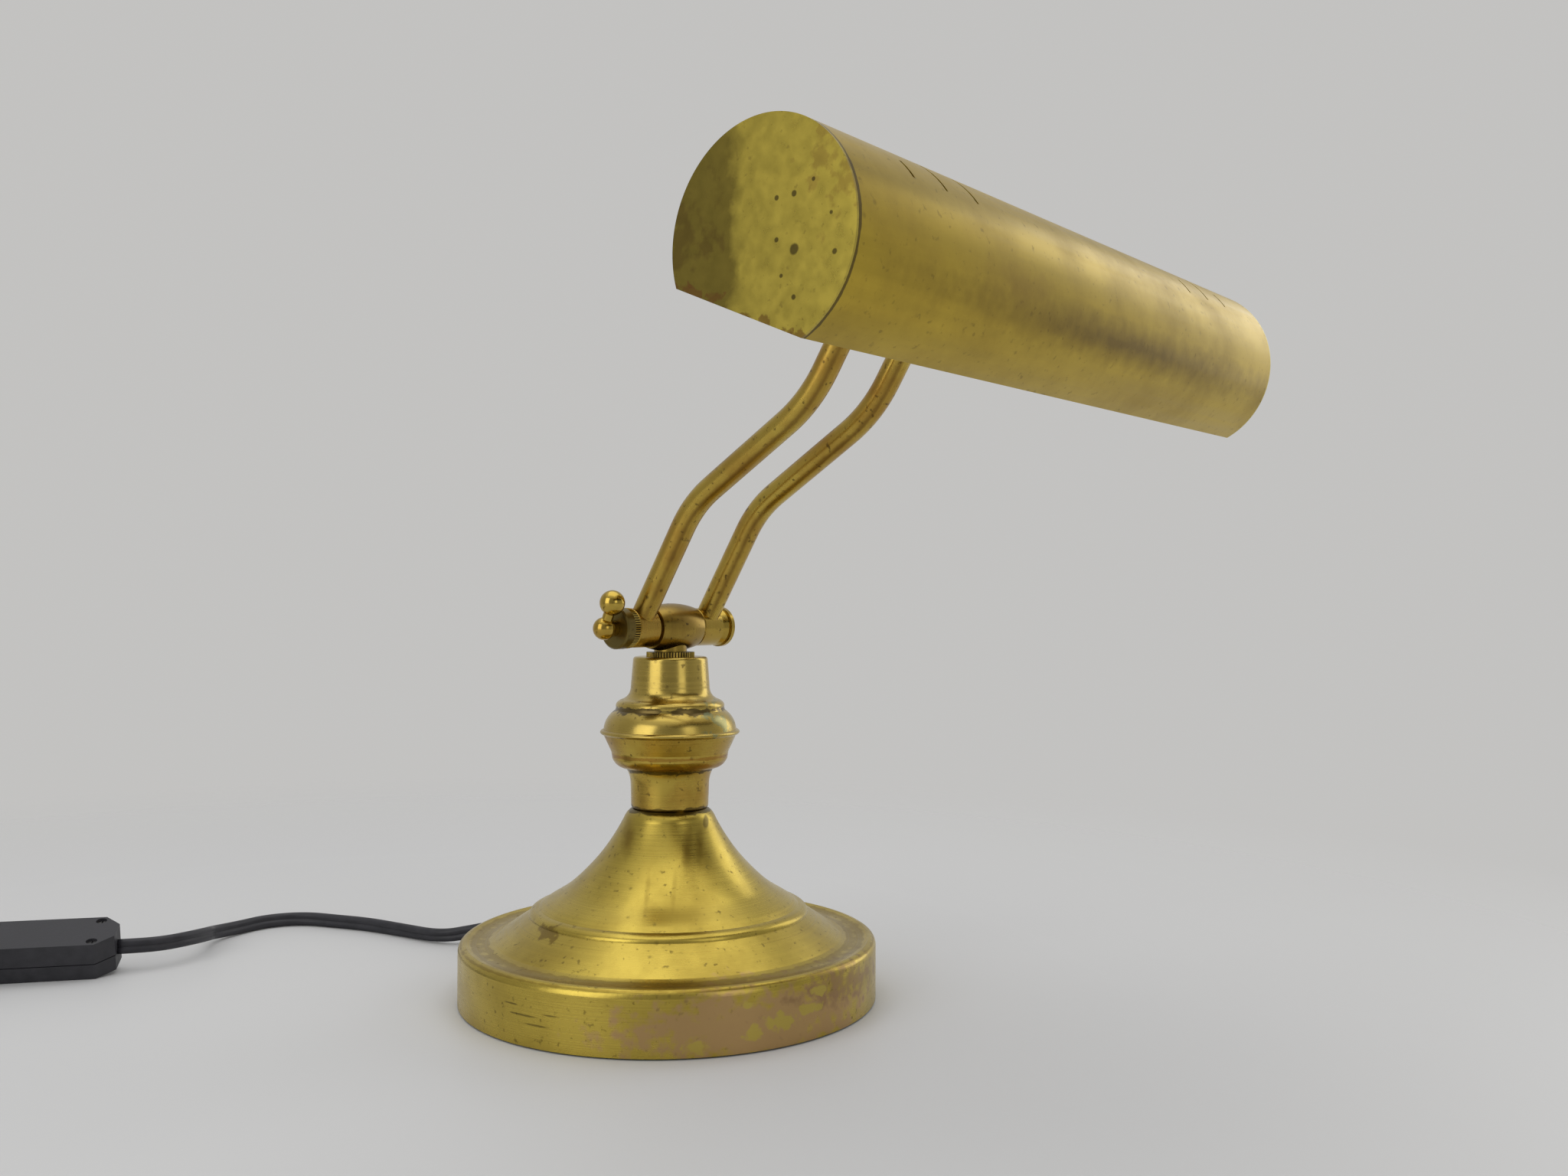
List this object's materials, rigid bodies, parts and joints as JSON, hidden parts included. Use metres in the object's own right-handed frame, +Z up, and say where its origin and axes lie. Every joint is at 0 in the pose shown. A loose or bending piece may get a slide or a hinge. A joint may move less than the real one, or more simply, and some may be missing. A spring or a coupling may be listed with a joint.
{
  "type": "piano lamp",
  "caption": "Piano lamp with a spun round base, two bent arms on a clamped pivot, a tilting half-round shade with tubular lamps, and a flat cord with an inline switch.",
  "frame": {"origin": "centre of the base on the table, at the underside of the felt", "axes": "+Z up; +X along the shade, to the right of a person in front of the lamp; -Y forward, the way the shade reaches out"},
  "size_m": [0.459, 0.5006, 0.3059],
  "materials": {
    "brass": "aged lacquered spun brass, satin, olive gold",
    "brass_solid": "aged turned brass",
    "iron": "rough cast, painted dark",
    "felt": "dark felt",
    "steel": "plain zinc-plated steel",
    "dark_metal": "blackened metal",
    "lead": "black insulated lead",
    "black_plastic": "matt black moulded plastic",
    "black_rubber": "matt black rubber",
    "black_cord": "matt black flat two-core cord",
    "lamp_metal": "bright plated metal",
    "lamp_glass": "clear to frosted tubular lamp"
  },
  "bodies": {
    "base": {"base_shell": "brass", "base_weight": "iron", "base_felt": "felt", "center_rod": "steel", "rod_washer": "steel", "rod_nut": "steel", "column_lower_shell": "brass", "column_upper_shell": "brass", "column_plug": "brass_solid", "lock_nut": "brass_solid", "cord_grommet": "black_rubber", "column_lead": "lead", "cord_to_switch": "black_cord", "switch_base": "black_plastic", "switch_cover": "black_plastic", "switch_screws": "dark_metal", "switch_terminals": "brass_solid", "cord_to_coil": "black_cord", "cord_coil": "black_cord", "cord_to_plug": "black_cord", "plug_body": "black_plastic", "plug_pins": "lamp_metal"},
    "pivot": {"lower_knuckle": "brass_solid"},
    "arms": {"lower_left_hub": "brass_solid", "lower_right_hub": "brass_solid", "lower_friction_washers": "steel", "lower_bolt": "steel", "lower_right_cap": "brass_solid", "knurled_ring": "brass_solid", "left_arm_tube": "brass", "right_arm_tube": "brass", "arm_lead": "lead", "upper_left_hub": "brass_solid", "upper_right_hub": "brass_solid", "upper_friction_washers": "steel", "upper_bolt": "steel", "upper_left_cap": "brass_solid", "upper_right_cap": "brass_solid"},
    "key": {"key_nut": "dark_metal", "clamp_key": "brass_solid"},
    "shade": {"upper_knuckle": "brass_solid", "upper_lock_nut": "brass_solid", "shade_collar": "brass_solid", "shade_shell": "brass", "left_end_cap": "brass", "right_end_cap": "brass", "holder_bracket": "steel", "stem_nut": "steel", "left_lampholder": "black_plastic", "right_lampholder": "black_plastic", "left_lamp_cap": "lamp_metal", "right_lamp_cap": "lamp_metal", "left_lamp_glass": "lamp_glass", "right_lamp_glass": "lamp_glass", "shade_leads": "lead"},
    "rocker": {"switch_rocker": "black_plastic"}
  },
  "joints": [
    {"name": "column_swivel", "type": "hinge", "parent": "base", "child": "pivot", "pos_m": [0, 0, 0.1468], "axis": [0, 0, 1], "range_deg": [-160, 160]},
    {"name": "arm_tilt", "type": "hinge", "parent": "pivot", "child": "arms", "pos_m": [0, 0, 0.1595], "axis": [1, 0, 0], "range_deg": [-35, 50]},
    {"name": "key_turn", "type": "hinge", "parent": "arms", "child": "key", "pos_m": [0, 0, 0.1595], "axis": [1, 0, 0], "range_deg": [-180, 15]},
    {"name": "shade_tilt", "type": "hinge", "parent": "arms", "child": "shade", "pos_m": [0, -0.12403, 0.29457], "axis": [1, 0, 0], "range_deg": [-60, 45]},
    {"name": "switch_rocker", "type": "hinge", "parent": "base", "child": "rocker", "pos_m": [-0.16423, 0.23475, 0.0064], "axis": [0.579, 0.772, 0.2622], "range_deg": [-12, 0]}
  ]
}
